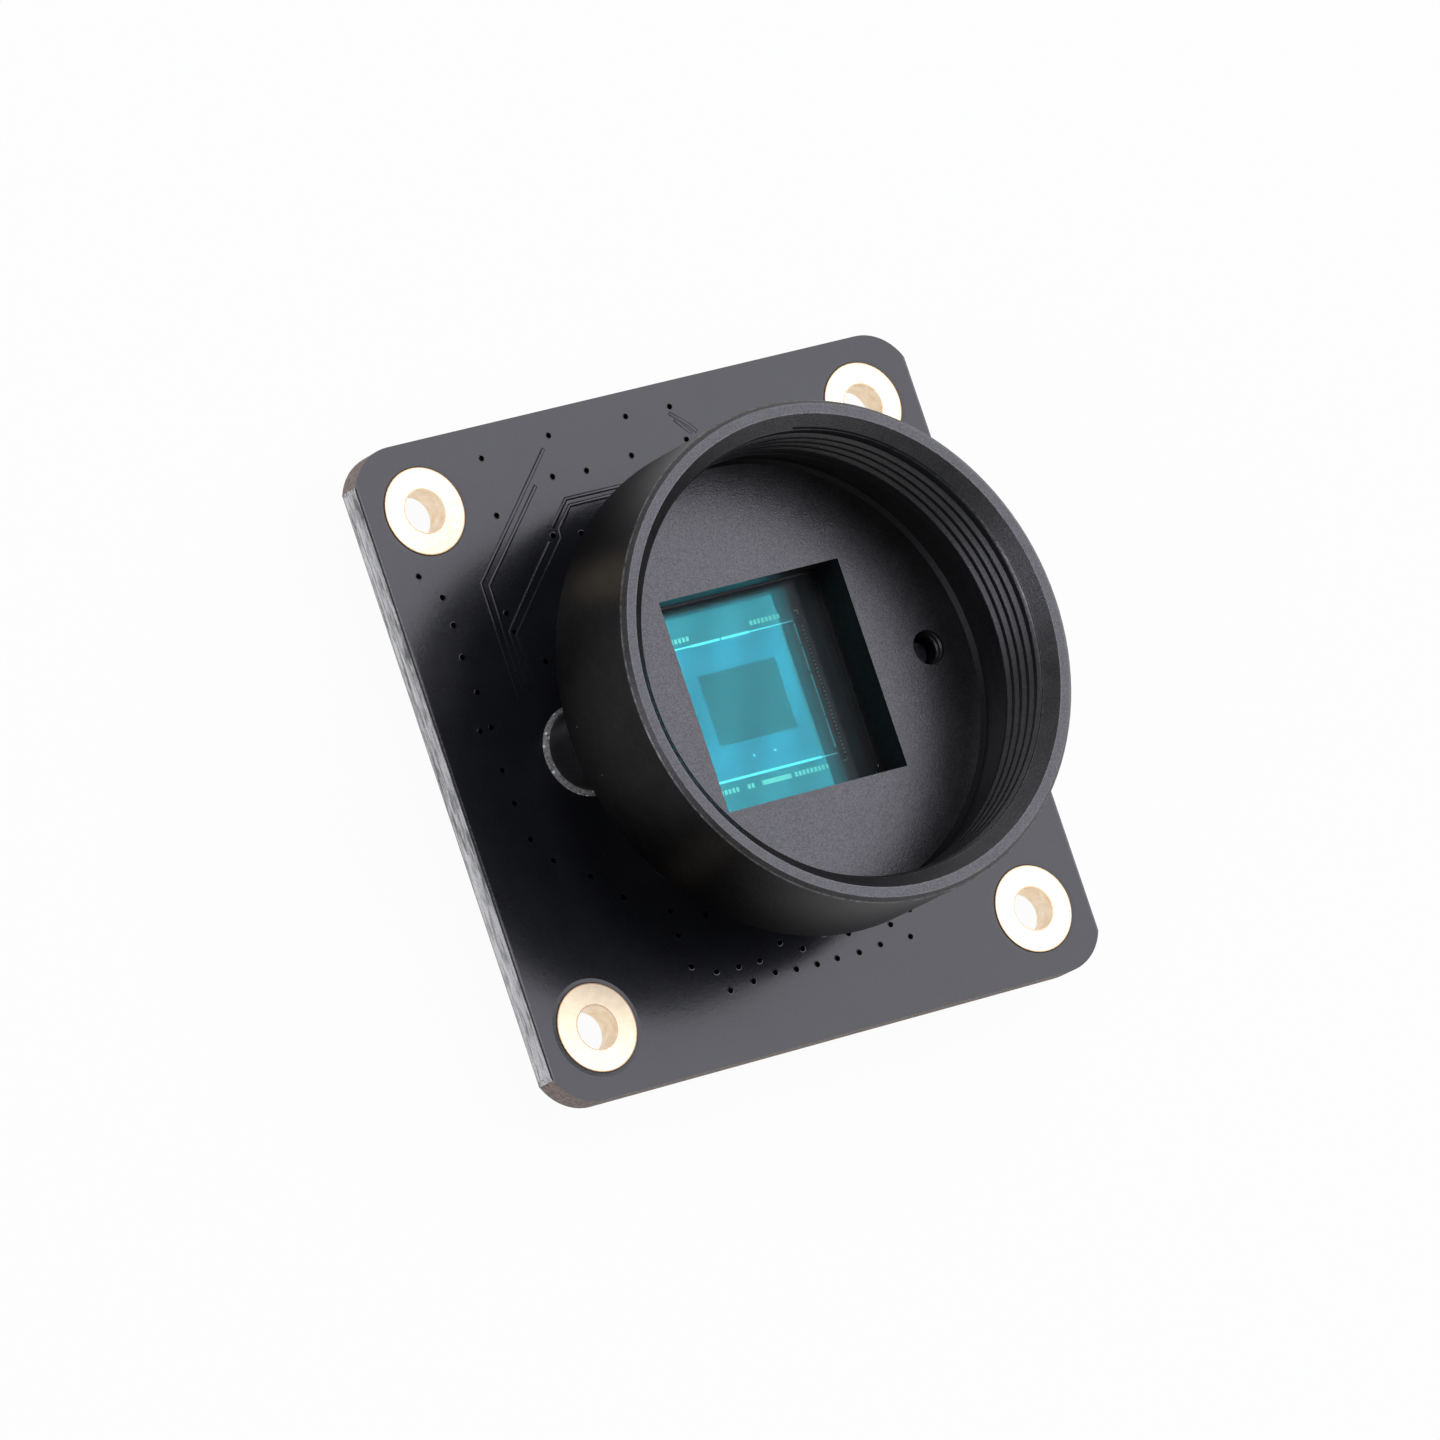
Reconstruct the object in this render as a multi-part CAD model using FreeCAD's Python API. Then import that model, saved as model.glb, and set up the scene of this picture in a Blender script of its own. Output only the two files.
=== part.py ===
import FreeCAD, Part
import math
import os

# Camera module: a lens mount screwed to a square circuit board, with an image sensor behind
# a blue-green filter glass and a flat-cable connector on the back. Lengths are millimetres.
# The origin is on the optical axis, on the board's back face, where stand-offs meet it.
# X runs across the board, Y up it, and Z along the optical axis towards the lens.

V = FreeCAD.Vector
UP = V(0, 0, 1)

# Circuit board
board_width = 38.0
board_height = 37.9
board_t = 1.6
corner_r = 3.0
snap_stop = 2.05
score_inset = 0.25
score_depth = 0.5
hole_pitch = 30.0
hole_r = 1.25
land_width = 1.25
plating_t = 0.05

# Image sensor: silicon die in a ceramic tray, under a cover glass
die_width = 12.3
die_height = 12.3
die_t = 0.7
die_gap = 0.1
package_corner_r = 0.3
package_base_t = 0.75
package_wall = 0.35
bond_space = 0.4
glass_inset = 0.15
glass_t = 0.5
solder_t = 0.1
sensor_pads_per_side = 11
sensor_pad_pitch = 1.0
sensor_pad_length = 0.9
sensor_pad_width = 0.55

# Filter glass above the sensor, and the adhesive frame that holds it in its pocket
filter_t = 0.7
filter_corner_r = 0.4
filter_gap = 0.15
pocket_gap = 0.1
pocket_clearance = 0.1
adhesive_t = 0.1
adhesive_lip = 0.1
adhesive_corner_r = 1.1

# Lens mount, from its base up and from its thread outwards
ledge_width = 0.6
block_wall = 1.6
block_corner_r = 1.5
well_depth = 2.35
floor_t = 0.8
floor_chamfer = 0.25
relief_height = 1.68
relief_depth = 0.2
thread_r = 12.7
thread_length = 4.7
lead_in = 0.72
rim_land = 0.58
rim_chamfer = 0.25
cup_chamfer = 0.6
screw_pitch = 20.0
tapped_r = 1.0
column_wall = 1.42
foot_step = 0.23
foot_height = 0.3

# Mounting screws of the lens mount, put in from the back of the board
screw_thread_gap = 0.03
screw_hole_gap = 0.13
screw_length = 6.0
screw_tip_chamfer = 0.3
screw_head_step = 0.8
screw_head_h = 1.3
screw_head_chamfer = 0.4
recess_width = 0.36
recess_length = 2.0
recess_depth = 0.75

# Flat-cable connector, with depths below the board's back face
contact_count = 15
contact_pitch = 1.0
contact_width = 0.3
contact_t = 0.2
contact_tail = 0.9
groove_gap = 0.03
housing_edge_gap = 1.65
housing_depth = 4.6
housing_floor = 0.75
slot_top = 0.75
slot_height = 1.1
slot_end_gap = 1.15
slot_side_wall = 1.45
slot_back_wall = 0.9
slider_gap = 0.06
slider_travel = 1.2
bar_depth = 1.1
bar_height = 1.2
bar_drop = 0.6
arm_t = 0.8
arm_length = 3.0
arm_height = 1.5
hook_length = 0.6
hook_reach = 0.4
tongue_t = 0.5
tongue_end_gap = 0.7
anchor_t = 0.2
anchor_width = 1.2
anchor_foot = 1.2
anchor_height = 1.6

# Chip parts on the back of the board: length, width and height
small_chip = (1.0, 0.5, 0.5)
resistor_chip = (1.6, 0.8, 0.45)
bead_chip = (2.0, 1.25, 1.0)
tall_chip = (3.2, 1.6, 1.6)
end_cap_share = 0.22
end_cap_proud = 0.02

# Integrated circuits on the back of the board
regulator_body = (2.9, 1.6, 1.0)
regulator_lead_pitch = 0.95
memory_body = (3.0, 4.4, 0.95)
memory_lead_pitch = 0.65
body_stand_off = 0.1
body_chamfer = 0.15
lead_width = 0.3
lead_t = 0.15
lead_reach = 0.65
lead_knee_share = 0.4
oscillator_body = (3.2, 2.5, 0.6)
oscillator_lid_inset = 0.15
oscillator_lid_t = 0.25
array_body = (4.0, 4.0, 0.8)
array_pads_per_side = 6
array_pad_pitch = 0.5
array_pad_width = 0.25
array_pad_length = 0.45
array_pad_t = 0.06

# Where the parts on the back sit
chip_gap = 0.2
row_gap = 0.8
row_count = 7
row_pitch = 1.5
column_count = 4
resistor_pitch = 1.6
resistor_edge_gap = 2.5
side_inset = 5.6
regulator_count = 3
regulator_pitch = 4.4
regulator_share = 0.28
bead_share = 0.6

# Sizes worked out from the ones above: the sensor sets the filter, and both set the mount
front = board_t
pad_r = hole_r + land_width
package_inner = max(die_width, die_height) + 2 * die_gap
package_width = package_inner + 2 * package_wall
package_bottom = front + solder_t
die_bottom = package_bottom + package_base_t
package_top = die_bottom + die_t + bond_space
filter_bottom = package_top + glass_t + filter_gap
filter_top = filter_bottom + filter_t
well_bottom = filter_top + adhesive_t
pocket_width = package_width + 2 * pocket_clearance
filter_width = pocket_width - 2 * pocket_gap
well_width = pocket_width - 2 * ledge_width
adhesive_opening = well_width - 2 * adhesive_lip
block_width = pocket_width + 2 * block_wall
floor_z = well_bottom + well_depth
cup_underside = floor_z - floor_t
relief_z = floor_z + relief_height
lead_in_z = relief_z + relief_depth + thread_length
rim_z = lead_in_z + lead_in
relief_r = thread_r + relief_depth
lead_in_r = thread_r + lead_in
cup_r = lead_in_r + rim_land + rim_chamfer
column_r = tapped_r + column_wall
foot_r = column_r + foot_step
screw_r = tapped_r - screw_thread_gap
screw_hole_r = screw_r + screw_hole_gap
screw_head_r = screw_hole_r + screw_head_step

# Places on the back, worked out in the same way
slot_bottom = slot_top + slot_height
slot_width = (contact_count - 1) * contact_pitch + 2 * slot_end_gap
housing_width = slot_width + 2 * slot_side_wall
housing_height = slot_bottom + housing_floor
housing_mouth_y = -board_height / 2 + housing_edge_gap
housing_back_y = housing_mouth_y + housing_depth
slot_end_y = housing_back_y - slot_back_wall
arm_top = (slot_top + slot_bottom - arm_height) / 2
row_y = package_width / 2 + row_gap
row_outer_y = row_y + small_chip[0] / 2
column_x = screw_pitch / 2 - screw_head_r - chip_gap - small_chip[0] / 2
side_x = board_width / 2 - side_inset
side_y = (screw_head_r + hole_pitch / 2 - pad_r) / 2
top_band = board_height / 2 - row_outer_y
low_band_y = (housing_back_y + contact_tail - row_outer_y) / 2


def block(x0, x1, y0, y1, z0, z1):
    """A box between two values on each axis."""
    return Part.makeBox(x1 - x0, y1 - y0, z1 - z0, V(x0, y0, z0))


def centred_block(cx, cy, size_x, size_y, z0, z1):
    """A box centred on a point, between two heights."""
    return block(cx - size_x / 2, cx + size_x / 2, cy - size_y / 2, cy + size_y / 2, z0, z1)


def upright_edges(shape):
    """The straight edges that run along Z."""
    found = []
    for edge in shape.Edges:
        ends = [v.Point for v in edge.Vertexes]
        if len(ends) == 2 and math.hypot(ends[0].x - ends[1].x, ends[0].y - ends[1].y) < 1e-6:
            found.append(edge)
    return found


def rounded_block(size_x, size_y, radius, z0, z1, cx=0.0, cy=0.0):
    """A box with rounded upright corners."""
    body = centred_block(cx, cy, size_x, size_y, z0, z1)
    return body.makeFillet(radius, upright_edges(body))


def cylinder(radius, z0, z1, x=0.0, y=0.0):
    """An upright cylinder between two heights."""
    return Part.makeCylinder(radius, z1 - z0, V(x, y, z0), UP)


def prism(points, direction):
    """A closed polygon pushed along a vector."""
    wire = Part.makePolygon(points + [points[0]])
    return Part.Face(wire).extrude(direction)


def round_edges(shape, z):
    """The circular edges at a height."""
    return [edge for edge in shape.Edges if isinstance(edge.Curve, Part.Circle)
            and abs(edge.Curve.Center.z - z) < 1e-6]


def fuse_all(shapes):
    """One shape from several that touch or overlap."""
    return shapes[0].multiFuse(shapes[1:]).removeSplitter()


def hole_centres():
    """The four corner holes of the board."""
    half = hole_pitch / 2
    return [(sx * half, sy * half) for sx in (-1, 1) for sy in (-1, 1)]


def screw_centres():
    """The two screws of the lens mount."""
    return [(-screw_pitch / 2, 0.0), (screw_pitch / 2, 0.0)]


def make_circuit_board():
    """Laminate with routed corners, and V-scored sides snapped a little way round them."""
    snapped_height = board_height - 2 * snap_stop
    outline = fuse_all([rounded_block(board_width, board_height, corner_r, 0, board_t),
                        centred_block(0, 0, board_width, snapped_height, 0, board_t)])
    half = board_width / 2
    inner = half - score_inset
    section = [(-half, score_depth), (-inner, 0), (inner, 0), (half, score_depth),
               (half, board_t - score_depth), (inner, board_t),
               (-inner, board_t), (-half, board_t - score_depth)]
    corners = [V(x, -board_height / 2, z) for x, z in section]
    board = outline.common(prism(corners, V(0, board_height, 0)))
    for x, y in hole_centres():
        board = board.cut(cylinder(hole_r + plating_t, 0, board_t, x, y))
    for x, y in screw_centres():
        board = board.cut(cylinder(screw_hole_r, 0, board_t, x, y))
    return board


def make_plated_holes():
    """Each corner hole's plating: a land on both faces, joined by the wall of the hole."""
    rings = []
    for x, y in hole_centres():
        barrel = cylinder(hole_r + plating_t, -plating_t, board_t + plating_t, x, y)
        lower = cylinder(pad_r, -plating_t, 0, x, y)
        upper = cylinder(pad_r, board_t, board_t + plating_t, x, y)
        bore = cylinder(hole_r, -plating_t, board_t + plating_t, x, y)
        rings.append(fuse_all([barrel, lower, upper]).cut(bore))
    return Part.makeCompound(rings)


def make_cup():
    """The turned part of the mount: rim, lead-in, thread bore, relief and floor."""
    profile = [(0, cup_underside), (cup_r - cup_chamfer, cup_underside),
               (cup_r, cup_underside + cup_chamfer), (cup_r, rim_z - rim_chamfer),
               (cup_r - rim_chamfer, rim_z), (lead_in_r, rim_z), (thread_r, lead_in_z),
               (thread_r, relief_z + relief_depth), (relief_r, relief_z),
               (relief_r, floor_z + floor_chamfer), (relief_r - floor_chamfer, floor_z),
               (0, floor_z)]
    points = [V(r, 0, z) for r, z in profile]
    face = Part.Face(Part.makePolygon(points + [points[0]]))
    return face.revolve(V(0, 0, 0), UP, 360)


def make_ear(x, y):
    """A screw ear: a column up to the cup, with a flared foot on the board."""
    foot = Part.makeCone(foot_r, column_r, foot_height, V(x, y, front), UP)
    return fuse_all([foot, cylinder(column_r, front, cup_underside, x, y)])


def make_lens_mount():
    """Cup, square base with the sensor well and filter pocket, and two screw ears."""
    pieces = [make_cup()]
    pieces.append(rounded_block(block_width, block_width, block_corner_r, front, cup_underside))
    for x, y in screw_centres():
        pieces.append(make_ear(x, y))
    mount = fuse_all(pieces)
    mount = mount.cut(centred_block(0, 0, well_width, well_width, front, floor_z))
    mount = mount.cut(rounded_block(pocket_width, pocket_width, filter_corner_r,
                                    front, well_bottom))
    for x, y in screw_centres():
        mount = mount.cut(cylinder(tapped_r, front, floor_z, x, y))
    return mount


def make_mount_screws():
    """Two cross-recess pan-head screws."""
    screws = []
    recess_top = recess_depth - screw_head_h
    for x, y in screw_centres():
        head = cylinder(screw_head_r, -screw_head_h, 0, x, y)
        head = head.makeChamfer(screw_head_chamfer, round_edges(head, -screw_head_h))
        shank = cylinder(screw_r, 0, screw_length, x, y)
        shank = shank.makeChamfer(screw_tip_chamfer, round_edges(shank, screw_length))
        across = centred_block(x, y, recess_length, recess_width, -screw_head_h, recess_top)
        along = centred_block(x, y, recess_width, recess_length, -screw_head_h, recess_top)
        screws.append(fuse_all([head, shank]).cut(across.fuse(along)))
    return Part.makeCompound(screws)


def make_filter_glass():
    """Flat filter plate, glued under the well's ledge."""
    return rounded_block(filter_width, filter_width, filter_corner_r, filter_bottom, filter_top)


def make_filter_adhesive():
    """Thin adhesive frame between the ledge and the filter."""
    frame = rounded_block(filter_width, filter_width, filter_corner_r, filter_top, well_bottom)
    opening = rounded_block(adhesive_opening, adhesive_opening, adhesive_corner_r,
                            filter_top, well_bottom)
    return frame.cut(opening)


def make_sensor_package():
    """Ceramic tray with a raised wall round the die."""
    tray = rounded_block(package_width, package_width, package_corner_r,
                         package_bottom, package_top)
    return tray.cut(rounded_block(package_inner, package_inner, package_corner_r,
                                  die_bottom, package_top))


def make_sensor_die():
    """Silicon chip bonded to the tray's floor."""
    return centred_block(0, 0, die_width, die_height, die_bottom, die_bottom + die_t)


def make_sensor_glass():
    """Cover glass sealed on the tray's wall."""
    size = package_width - 2 * glass_inset
    return rounded_block(size, size, package_corner_r, package_top, package_top + glass_t)


def make_sensor_solder():
    """Solder lands under the sensor package, along its four sides."""
    reach = package_width / 2 - sensor_pad_length / 2
    first = -(sensor_pads_per_side - 1) / 2 * sensor_pad_pitch
    lands = []
    for i in range(sensor_pads_per_side):
        step = first + i * sensor_pad_pitch
        for side in (-1, 1):
            if abs(step) + sensor_pad_width / 2 < reach - sensor_pad_length / 2:
                lands.append(centred_block(side * reach, step, sensor_pad_length,
                                           sensor_pad_width, front, package_bottom))
            lands.append(centred_block(step, side * reach, sensor_pad_width,
                                       sensor_pad_length, front, package_bottom))
    return Part.makeCompound(lands)


def contact_positions():
    """X of each contact of the cable connector."""
    first = -(contact_count - 1) / 2 * contact_pitch
    return [first + i * contact_pitch for i in range(contact_count)]


def make_connector_housing():
    """Moulded body: cable slot, contact grooves, side recesses for the slider's hooks."""
    half = housing_width / 2
    body = block(-half, half, housing_mouth_y, housing_back_y, -housing_height, 0)
    cuts = [block(-slot_width / 2, slot_width / 2, housing_mouth_y, slot_end_y,
                  -slot_bottom, -slot_top)]
    groove = contact_width + 2 * groove_gap
    for x in contact_positions():
        cuts.append(block(x - groove / 2, x + groove / 2, housing_mouth_y + 2 * contact_t,
                          housing_back_y, -slot_top - contact_t, -slot_top + contact_t))
    recess_end = housing_mouth_y + arm_length + slider_gap
    recess_start = recess_end - hook_length - slider_travel - 2 * slider_gap
    recess_x = half - hook_reach - slider_gap
    recess_low = -arm_top - arm_height - slider_gap
    for side in (-1, 1):
        xs = sorted((side * recess_x, side * half))
        cuts.append(block(xs[0], xs[1], recess_start, recess_end,
                          recess_low, -arm_top + slider_gap))
    return body.cut(fuse_all(cuts))


def make_connector_contacts():
    """Sprung blades: a tail soldered to the board, a root in the groove and a contact nose."""
    top = slot_top - contact_t
    tip_y = housing_mouth_y + 3 * contact_t
    nose_y = tip_y + 2 * contact_t
    back = housing_back_y
    profile = [(tip_y, top), (nose_y, top + 2 * contact_t),
               (nose_y + 2 * contact_t, top + contact_t), (back + contact_t, top + contact_t),
               (back + 2 * contact_t, contact_t), (back + contact_tail, contact_t),
               (back + contact_tail, 0), (back + contact_t, 0), (back, top)]
    blades = []
    for x in contact_positions():
        points = [V(x - contact_width / 2, y, -depth) for y, depth in profile]
        blades.append(prism(points, V(contact_width, 0, 0)))
    return Part.makeCompound(blades)


def make_connector_anchors():
    """Bent metal tabs that solder the housing's back corners to the board."""
    side = housing_width / 2
    y1 = housing_back_y
    y0 = y1 - anchor_width
    tabs = []
    for sign in (-1, 1):
        plate = sorted((sign * side, sign * (side + anchor_t)))
        foot = sorted((sign * side, sign * (side + anchor_foot)))
        tabs.append(fuse_all([block(plate[0], plate[1], y0, y1, -anchor_height, 0),
                              block(foot[0], foot[1], y0, y1, -anchor_t, 0)]))
    return Part.makeCompound(tabs)


def make_connector_slider():
    """Locking slider: a pull bar, a tongue under the cable and two hooked side arms."""
    bar_y1 = housing_mouth_y - slider_gap
    bar_y0 = bar_y1 - bar_depth
    inner_x = housing_width / 2 + slider_gap
    outer_x = inner_x + arm_t
    bar_low = -slot_bottom - bar_drop
    tongue_low = -slot_bottom + slider_gap
    tongue_half = slot_width / 2 - slider_gap
    arm_z1 = -arm_top
    arm_z0 = arm_z1 - arm_height
    arm_end = housing_mouth_y + arm_length
    pieces = [block(-outer_x, outer_x, bar_y0, bar_y1, bar_low, bar_low + bar_height),
              block(-tongue_half, tongue_half, bar_y0, slot_end_y - tongue_end_gap,
                    tongue_low, tongue_low + tongue_t)]
    for sign in (-1, 1):
        arm = sorted((sign * inner_x, sign * outer_x))
        hook = sorted((sign * (inner_x - hook_reach - slider_gap), sign * outer_x))
        pieces.append(block(arm[0], arm[1], bar_y0, arm_end, arm_z0, arm_z1))
        pieces.append(block(hook[0], hook[1], arm_end - hook_length, arm_end, arm_z0, arm_z1))
    return fuse_all(pieces)


def turned(shape, x, y, quarter_turns):
    """A copy of a part modelled at the origin, turned about Z and moved to its place."""
    placed = shape.copy()
    placed.rotate(V(0, 0, 0), UP, 90 * quarter_turns)
    placed.translate(V(x, y, 0))
    return placed


def chip_body(size):
    """The ceramic middle of a two-ended chip part, hanging under the board."""
    length, width, height = size
    end = length * end_cap_share
    return centred_block(0, 0, length - 2 * end, width, -height + end_cap_proud, -end_cap_proud)


def chip_ends(size):
    """The two metal end caps of a chip part."""
    length, width, height = size
    end = length * end_cap_share
    caps = []
    for side in (-1, 1):
        centre = side * (length - end) / 2
        caps.append(centred_block(centre, 0, end, width + 2 * end_cap_proud, -height, 0))
    return caps


def across_row(x, y, count, pitch, quarter_turns):
    """Places in a row along X, centred on a point."""
    first = x - (count - 1) / 2 * pitch
    return [(first + i * pitch, y, quarter_turns) for i in range(count)]


def upright_row(x, y, count, pitch, quarter_turns):
    """Places in a row along Y, centred on a point."""
    first = y - (count - 1) / 2 * pitch
    return [(x, first + i * pitch, quarter_turns) for i in range(count)]


def chip_parts(size, places):
    """Bodies and end caps of one kind of chip part at all its places."""
    bodies = [turned(chip_body(size), *place) for place in places]
    ends = [turned(cap, *place) for place in places for cap in chip_ends(size)]
    return Part.makeCompound(bodies), Part.makeCompound(ends)


def packaged_body(size):
    """Moulded body with a chamfered edge round its outer face, above a small stand-off."""
    length, width, height = size
    body = centred_block(0, 0, length, width, -body_stand_off - height, -body_stand_off)
    low = -body_stand_off - height
    edges = [e for e in body.Edges if all(abs(v.Z - low) < 1e-6 for v in e.Vertexes)]
    return body.makeChamfer(body_chamfer, edges)


def gull_wing(y_side, x, half_width, height):
    """A formed lead from the middle of the body's side down to the board."""
    mid = body_stand_off + height / 2
    out = half_width + lead_reach
    knee = half_width + lead_reach * lead_knee_share
    profile = [(half_width, mid - lead_t / 2), (knee - lead_t, mid - lead_t / 2),
               (knee, 0), (out, 0), (out, lead_t), (knee + lead_t, lead_t),
               (knee, mid + lead_t / 2), (half_width, mid + lead_t / 2)]
    points = [V(x - lead_width / 2, y_side * y, -depth) for y, depth in profile]
    return prism(points, V(lead_width, 0, 0))


def regulator_parts(places):
    """Small regulators: three leads on one side and two on the other."""
    bodies = []
    leads = []
    for place in places:
        bodies.append(turned(packaged_body(regulator_body), *place))
        for side, steps in ((-1, (-1, 0, 1)), (1, (-1, 1))):
            for step in steps:
                lead = gull_wing(side, step * regulator_lead_pitch,
                                 regulator_body[1] / 2, regulator_body[2])
                leads.append(turned(lead, *place))
    return Part.makeCompound(bodies), Part.makeCompound(leads)


def memory_parts(place):
    """An eight-lead memory chip."""
    body = turned(packaged_body(memory_body), *place)
    leads = []
    for side in (-1, 1):
        for i in range(4):
            step = (i - 1.5) * memory_lead_pitch
            lead = gull_wing(side, step, memory_body[1] / 2, memory_body[2])
            leads.append(turned(lead, *place))
    return body, Part.makeCompound(leads)


def oscillator_parts(place):
    """Clock oscillator: ceramic base with a welded metal lid."""
    length, width, height = oscillator_body
    base = centred_block(0, 0, length, width, -height, 0)
    lid_length = length - 2 * oscillator_lid_inset
    lid_width = width - 2 * oscillator_lid_inset
    lid = rounded_block(lid_length, lid_width, oscillator_lid_inset,
                        -height - oscillator_lid_t, -height)
    return turned(base, *place), turned(lid, *place)


def array_parts(place):
    """Flat leadless control chip on its row of lands."""
    length, width, height = array_body
    body = centred_block(0, 0, length, width, -array_pad_t - height, -array_pad_t)
    lands = []
    first = -(array_pads_per_side - 1) / 2 * array_pad_pitch
    edge = length / 2 - array_pad_length / 2
    for i in range(array_pads_per_side):
        step = first + i * array_pad_pitch
        for side in (-1, 1):
            lands.append(centred_block(side * edge, step, array_pad_length,
                                       array_pad_width, -array_pad_t, 0))
            lands.append(centred_block(step, side * edge, array_pad_width,
                                       array_pad_length, -array_pad_t, 0))
    lands = [turned(land, *place) for land in lands]
    return turned(body, *place), Part.makeCompound(lands)


def make_back_parts():
    """Everything soldered to the back besides the cable connector, by node name."""
    regulator_y = row_outer_y + regulator_share * top_band
    bead_y = row_outer_y + bead_share * top_band
    resistor_x = board_width / 2 - resistor_edge_gap
    small = across_row(0, row_y, row_count, row_pitch, 1)
    small += across_row(0, -row_y, row_count, row_pitch, 1)
    small += upright_row(-column_x, 0, column_count, row_pitch, 0)
    small += upright_row(column_x, 0, column_count, row_pitch, 0)
    resistors = upright_row(-resistor_x, 0, column_count + 1, resistor_pitch, 0)
    resistors += upright_row(resistor_x, 0, column_count, resistor_pitch, 0)
    regulators = across_row(-regulator_pitch, regulator_y, regulator_count, regulator_pitch, 0)
    beads = across_row(-regulator_pitch, bead_y, regulator_count, regulator_pitch, 1)
    tall = [(regulator_pitch * 3 / 2, bead_y, 0), (-regulator_pitch, low_band_y, 0),
            (side_x, side_y, 1), (-side_x, side_y, 1)]
    parts = {}
    parts["capacitor_bodies"], parts["capacitor_ends"] = chip_parts(small_chip, small)
    parts["resistor_bodies"], parts["resistor_ends"] = chip_parts(resistor_chip, resistors)
    parts["bead_bodies"], parts["bead_ends"] = chip_parts(bead_chip, beads)
    parts["reservoir_bodies"], parts["reservoir_ends"] = chip_parts(tall_chip, tall)
    parts["regulator_bodies"], parts["regulator_leads"] = regulator_parts(regulators)
    parts["memory_chip"], parts["memory_chip_leads"] = memory_parts((side_x, -side_y, 1))
    parts["oscillator_base"], parts["oscillator_lid"] = oscillator_parts((-side_x, -side_y, 0))
    parts["control_chip"], parts["control_chip_lands"] = array_parts((0, 0, 0))
    return parts


def make_parts():
    """Every node of the module."""
    parts = {
        "circuit_board": make_circuit_board(),
        "plated_holes": make_plated_holes(),
        "lens_mount": make_lens_mount(),
        "mount_screws": make_mount_screws(),
        "filter_glass": make_filter_glass(),
        "filter_adhesive": make_filter_adhesive(),
        "sensor_package": make_sensor_package(),
        "sensor_die": make_sensor_die(),
        "sensor_glass": make_sensor_glass(),
        "sensor_solder": make_sensor_solder(),
        "connector_housing": make_connector_housing(),
        "connector_contacts": make_connector_contacts(),
        "connector_anchors": make_connector_anchors(),
        "connector_slider": make_connector_slider(),
    }
    parts.update(make_back_parts())
    return parts


os.makedirs("parts", exist_ok=True)
for name, shape in make_parts().items():
    if not shape.isValid():
        raise ValueError(f"{name} is not a valid solid")
    shape.exportStep(f"parts/{name}.step")
    print(name, len(shape.Solids), "solids", round(shape.Volume, 2), "mm3")
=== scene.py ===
# %% [markdown]
# # A camera module, dressed for a photograph
#
# The object is a 38 mm circuit board with a threaded lens mount screwed to its front. Under the
# mount, behind a blue-green filter glass, lies an image sensor. The solid model gives every
# piece its size and place. This lesson adds what a solid model leaves out: threads, copper
# traces under the lacquer, solder, the pattern of the sensor, and the finish of each surface.

import math

import bmesh
import bpy
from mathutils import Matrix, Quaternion, Vector


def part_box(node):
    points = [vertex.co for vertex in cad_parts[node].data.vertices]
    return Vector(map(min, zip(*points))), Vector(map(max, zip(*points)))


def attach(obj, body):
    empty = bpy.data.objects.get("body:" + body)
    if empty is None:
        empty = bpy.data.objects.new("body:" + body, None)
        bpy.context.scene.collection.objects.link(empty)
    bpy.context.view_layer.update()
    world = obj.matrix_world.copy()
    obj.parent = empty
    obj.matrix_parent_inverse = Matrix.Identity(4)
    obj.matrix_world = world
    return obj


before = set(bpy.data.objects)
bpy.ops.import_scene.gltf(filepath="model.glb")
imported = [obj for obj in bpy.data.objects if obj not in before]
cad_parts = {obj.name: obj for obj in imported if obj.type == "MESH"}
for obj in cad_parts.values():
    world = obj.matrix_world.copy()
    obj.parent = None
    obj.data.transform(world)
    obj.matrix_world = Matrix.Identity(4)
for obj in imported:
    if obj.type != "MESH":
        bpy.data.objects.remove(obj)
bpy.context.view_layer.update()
MM = 0.001

# %% [markdown]
# ## Heights and radii, read from the solids
#
# Nothing here is measured twice. A thread has to sit in its bore and a trace on its board, so
# each place is read from the box of the piece that carries it, and the rest is worked out.

# %% Places on the object
board_low, board_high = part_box("circuit_board")
board_back = board_low.z
board_front = board_high.z
cup_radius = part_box("lens_mount")[1].x
rim_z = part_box("lens_mount")[1].z
die_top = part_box("sensor_die")[1].z
filter_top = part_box("filter_glass")[1].z
screws_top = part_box("mount_screws")[1].z
screw_x = 10.0 * MM
print("board", board_front, "rim", rim_z, "die", die_top)

# Turned sizes of the lens mount, as the solid model has them
thread_radius = 12.7 * MM
lead_in_radius = 13.42 * MM
lead_in_z = rim_z - (lead_in_radius - thread_radius)
bore_low_z = lead_in_z - 4.7 * MM
floor_z = board_front + 5.75 * MM
tapped_radius = 1.0 * MM

# The plated holes stand at the corners of a 30 mm square
hole_spacing = 30.0 * MM
land_radius = 2.5 * MM
bore_radius = 1.25 * MM

# The snapped sides are bevelled by the score, and the ears stand on a low flared foot
score_inset = 0.25 * MM
score_depth = 0.5 * MM
ear_radius = 2.42 * MM
foot_height = 0.3 * MM

# A mask reaches this far past the edge that it follows, and what lies on a face stands this
# far off it
margin = 0.02 * MM
off_face = 0.001 * MM

# %% [markdown]
# ## Small helpers for material nodes
#
# A finish is a small network of nodes. A few helpers keep the networks short to read: one adds
# a node with its values, some join two sockets through a sum, one starts a material, and one
# links what was worked out to its shader.

# %% Node helpers
def add_node(tree, kind, inputs=None, **settings):
    """Add a node, set its properties, and fill or link its inputs."""
    node = tree.nodes.new(kind)
    for key, value in settings.items():
        setattr(node, key, value)
    for key, value in (inputs or {}).items():
        if isinstance(value, bpy.types.NodeSocket):
            tree.links.new(value, node.inputs[key])
        else:
            node.inputs[key].default_value = value
    return node


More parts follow.
